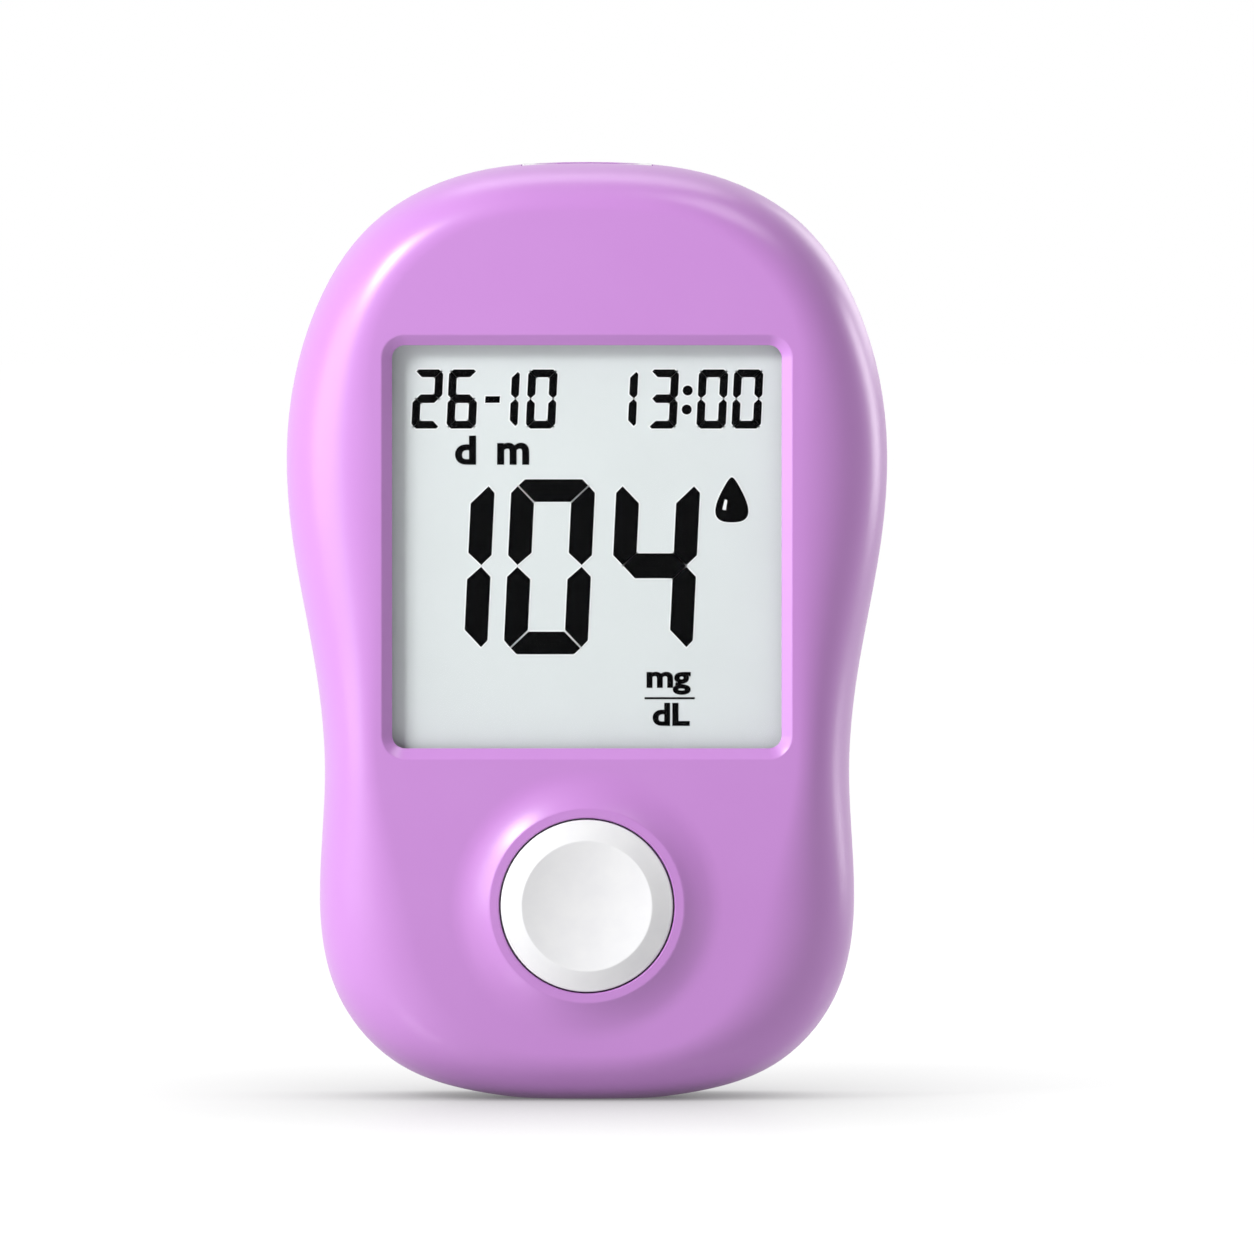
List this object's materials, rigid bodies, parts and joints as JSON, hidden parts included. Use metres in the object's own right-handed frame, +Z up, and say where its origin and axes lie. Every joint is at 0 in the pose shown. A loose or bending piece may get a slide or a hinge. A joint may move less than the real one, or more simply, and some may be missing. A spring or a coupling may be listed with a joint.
{
  "type": "blood glucose meter",
  "caption": "Hand-held blood glucose meter: pebble case with a square display window, a round push button, a strip port in the top end and a hinged battery door at the back.",
  "frame": {"origin": "middle of the standing device's bounding box at its flat bottom end; the shells part at Y = 0", "axes": "+Z up the length of the case to the strip port, -Y out of the display and button, +Y out of the battery door, +X to the viewer's right"},
  "size_m": [0.06, 0.024, 0.0934],
  "materials": {
    "case": "satin moulded plastic, orchid pink",
    "button": "satin moulded plastic, white",
    "lens": "clear acrylic",
    "tape": "black foam tape",
    "film": "polarising film",
    "lcd": "thin display glass",
    "reflector": "pale grey reflecting film",
    "holder": "white moulded plastic",
    "elastomer": "silicone with conducting layers",
    "silicone": "translucent silicone",
    "carbon": "carbon-filled silicone",
    "board": "green solder mask",
    "chip": "black moulded package",
    "black_plastic": "black moulded plastic",
    "steel": "nickel plate",
    "gold": "gold plate",
    "capacitor": "fired ceramic",
    "resistor": "fired ceramic",
    "cell": "printed sleeve over steel"
  },
  "bodies": {
    "housing": {"front_cover": "case", "rear_cover": "case", "display_window": "lens", "window_tape": "tape", "lcd_polariser": "film", "lcd_front_glass": "lcd", "lcd_rear_glass": "lcd", "lcd_reflector": "reflector", "lcd_holder": "holder", "zebra_connector": "elastomer", "button_dome": "silicone", "circuit_board": "board", "microcontroller": "chip", "analog_chip": "chip", "crystal": "steel", "buzzer": "black_plastic", "chip_capacitors": "capacitor", "chip_resistors": "resistor", "battery_cell_left": "cell", "battery_cell_right": "cell", "battery_bridge_contact": "steel", "battery_positive_contact": "steel", "battery_negative_contact": "steel", "strip_port": "button", "strip_connector": "holder", "strip_contacts": "gold", "case_screws": "steel", "board_screws": "steel"},
    "button": {"main_button": "button", "carbon_pill": "carbon"},
    "door": {"battery_door": "case"}
  },
  "joints": [
    {"name": "button_press", "type": "slide", "parent": "housing", "child": "button", "axis": [0, 1, 0], "range_m": [0, 0.001], "stiffness_N_per_m": 1500, "springref_m": -0.0005, "deforming": ["button_dome"]},
    {"name": "battery_door_tilt", "type": "hinge", "parent": "housing", "child": "door", "pos_m": [0, 0.012, 0.0106], "axis": [-1, 0, 0], "range_deg": [0, 50]}
  ]
}
